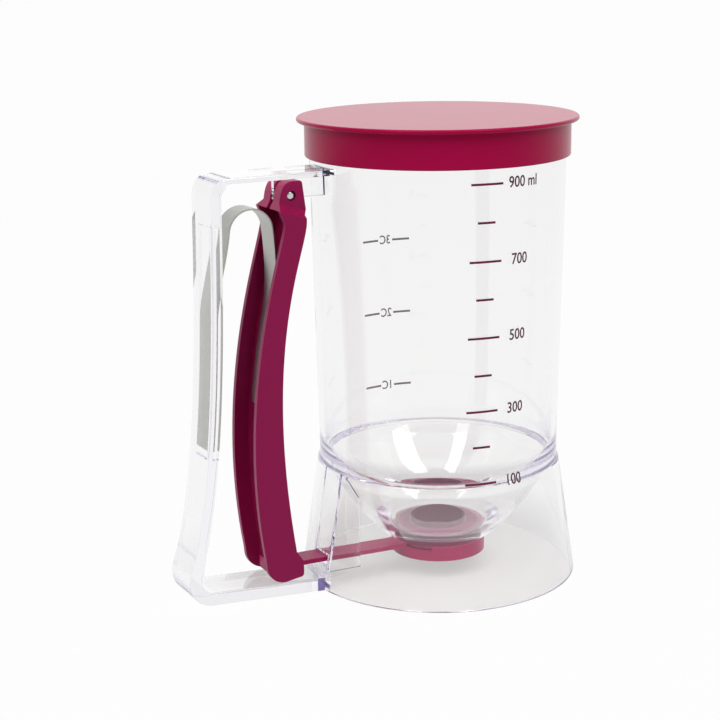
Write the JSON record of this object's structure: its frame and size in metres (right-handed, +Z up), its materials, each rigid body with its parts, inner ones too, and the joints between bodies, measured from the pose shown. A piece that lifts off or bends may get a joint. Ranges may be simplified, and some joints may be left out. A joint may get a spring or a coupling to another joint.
{
  "type": "batter dispenser",
  "caption": "Clear handled jug with a press-on lid, a sprung trigger in its handle and a sliding valve with a drip cup under its round bowl.",
  "frame": {"origin": "centre of the base ring, in the plane that it stands on", "axes": "+Z up along the jug's axis; the handle points to -X; Y runs across the handle, with the millilitre scale on -Y"},
  "size_m": [0.1776, 0.1168, 0.193],
  "materials": {
    "clear_plastic": "clear colourless moulded plastic, polished",
    "magenta_plastic": "deep magenta moulded plastic, satin gloss",
    "seal_rubber": "soft rose silicone, satin",
    "spring_steel": "rolled spring steel",
    "pin_steel": "polished steel pin"
  },
  "bodies": {
    "jug": {"barrel": "clear_plastic", "bowl": "clear_plastic", "skirt": "clear_plastic", "handle": "clear_plastic", "return_spring": "spring_steel"},
    "trigger": {"trigger_lever": "magenta_plastic", "hinge_pin": "pin_steel", "valve_arm": "magenta_plastic", "valve_seal": "seal_rubber"},
    "lid": {"lid": "magenta_plastic"}
  },
  "joints": [
    {"name": "trigger_hinge", "type": "hinge", "parent": "jug", "child": "trigger", "pos_m": [-0.07, 0, 0.1663], "axis": [0, 1, 0], "range_deg": [0, 5], "stiffness_Nm_per_rad": 3, "springref_deg": -2.86, "deforming": ["return_spring"]},
    {"name": "lid_lift", "type": "slide", "parent": "jug", "child": "lid", "axis": [0, 0, 1], "range_m": [0, 0.04]}
  ]
}
